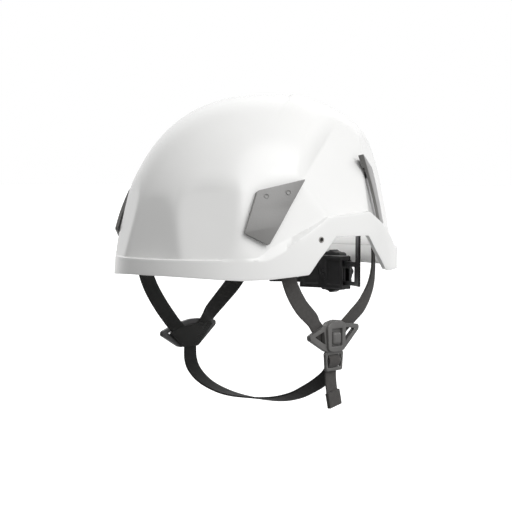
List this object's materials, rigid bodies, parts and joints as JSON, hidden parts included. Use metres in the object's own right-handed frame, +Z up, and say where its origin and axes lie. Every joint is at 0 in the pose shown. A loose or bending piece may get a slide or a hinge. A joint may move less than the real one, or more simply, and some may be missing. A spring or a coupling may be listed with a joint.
{
  "type": "climbing helmet",
  "caption": "Hard-shell climbing helmet with webbing cradle, rack-and-pinion size knob, headlamp clips and a chin harness with a push-button buckle.",
  "frame": {"origin": "centre of the head opening, in the plane of the front rim's lower edge", "axes": "+Z up through the crown, -Y to the wearer's front, +X to the wearer's left"},
  "size_m": [0.218, 0.285, 0.2731],
  "materials": {
    "shell": "glossy white moulded ABS",
    "clip_plastic": "fine-textured dark grey moulding",
    "insert_metal": "plain turned bush",
    "harness_plastic": "black satin moulding",
    "knob_plastic": "black ribbed moulding",
    "pad_fabric": "brushed knitted cover on foam",
    "cradle_webbing": "woven polyester webbing",
    "harness_webbing": "woven polyester webbing",
    "spring_steel": "spring steel",
    "buckle_plastic": "mid grey acetal moulding",
    "divider_plastic": "black acetal moulding"
  },
  "bodies": {
    "root": {"shell": "shell", "front_left_clip": "clip_plastic", "front_right_clip": "clip_plastic", "rear_left_clip": "clip_plastic", "rear_right_clip": "clip_plastic", "clip_pins": "clip_plastic", "accessory_inserts": "insert_metal", "headband": "harness_plastic", "forehead_pad": "pad_fabric", "cradle_strap_1": "cradle_webbing", "cradle_strap_2": "cradle_webbing", "cradle_strap_3": "cradle_webbing", "hangers": "harness_plastic", "adjuster_housing": "harness_plastic", "adjuster_cover": "harness_plastic", "click_spring": "spring_steel", "housing_screws": "spring_steel", "left_front_strap": "harness_webbing", "left_rear_strap": "harness_webbing", "right_front_strap": "harness_webbing", "right_rear_strap": "harness_webbing", "strap_anchors": "harness_plastic", "buckle_body": "buckle_plastic", "button_spring": "spring_steel", "strap_divider": "divider_plastic", "chin_strap": "harness_webbing"},
    "front_left_tab": {"front_left_clip_tab": "clip_plastic"},
    "front_right_tab": {"front_right_clip_tab": "clip_plastic"},
    "rear_left_tab": {"rear_left_clip_tab": "clip_plastic"},
    "rear_right_tab": {"rear_right_clip_tab": "clip_plastic"},
    "knob": {"adjuster_knob": "knob_plastic", "adjuster_pinion": "harness_plastic"},
    "left_arm": {"left_nape_arm": "harness_plastic"},
    "right_arm": {"right_nape_arm": "harness_plastic"},
    "button": {"buckle_button": "buckle_plastic"},
    "tongue": {"buckle_tongue": "buckle_plastic", "strap_tail": "harness_webbing", "tail_fold": "harness_webbing"}
  },
  "joints": [
    {"name": "front_left_clip_flex", "type": "hinge", "parent": "root", "child": "front_left_tab", "pos_m": [0.08335, -0.06931, 0.06473], "axis": [-0.4266, -0.9011, -0.0774], "range_deg": [0, 9], "stiffness_Nm_per_rad": 0.05},
    {"name": "front_right_clip_flex", "type": "hinge", "parent": "root", "child": "front_right_tab", "pos_m": [-0.08335, -0.06931, 0.06473], "axis": [-0.4266, 0.9011, 0.0774], "range_deg": [0, 9], "stiffness_Nm_per_rad": 0.05},
    {"name": "rear_left_clip_flex", "type": "hinge", "parent": "root", "child": "rear_left_tab", "pos_m": [0.0874, 0.05833, 0.08125], "axis": [0.4105, -0.8659, 0.2859], "range_deg": [0, 9], "stiffness_Nm_per_rad": 0.05},
    {"name": "rear_right_clip_flex", "type": "hinge", "parent": "root", "child": "rear_right_tab", "pos_m": [-0.0874, 0.05833, 0.08125], "axis": [0.4105, 0.8659, -0.2859], "range_deg": [0, 9], "stiffness_Nm_per_rad": 0.05},
    {"name": "size_knob_turn", "type": "hinge", "parent": "root", "child": "knob", "pos_m": [0, 0.114, -0.004], "axis": [0, 1, 0], "range_deg": [-115, 115]},
    {"name": "left_arm_travel", "type": "hinge", "parent": "root", "child": "left_arm", "pos_m": [0, 0.014, -0.004], "axis": [0, 0, 1], "range_deg": [-7, 7]},
    {"name": "right_arm_travel", "type": "hinge", "parent": "root", "child": "right_arm", "pos_m": [0, 0.014, -0.004], "axis": [0, 0, 1], "range_deg": [-7, 7]},
    {"name": "buckle_button_press", "type": "slide", "parent": "root", "child": "button", "axis": [-1, 0, 0], "range_m": [0, 0.0022], "stiffness_N_per_m": 200, "deforming": ["button_spring"]},
    {"name": "buckle_tongue_release", "type": "slide", "parent": "root", "child": "tongue", "axis": [0, 0, -1], "range_m": [0, 0.018], "deforming": ["chin_strap"]}
  ],
  "couplings": [
    {"joint": "left_arm_travel", "follows": "size_knob_turn", "ratio": -0.05618},
    {"joint": "right_arm_travel", "follows": "size_knob_turn", "ratio": 0.054645}
  ]
}
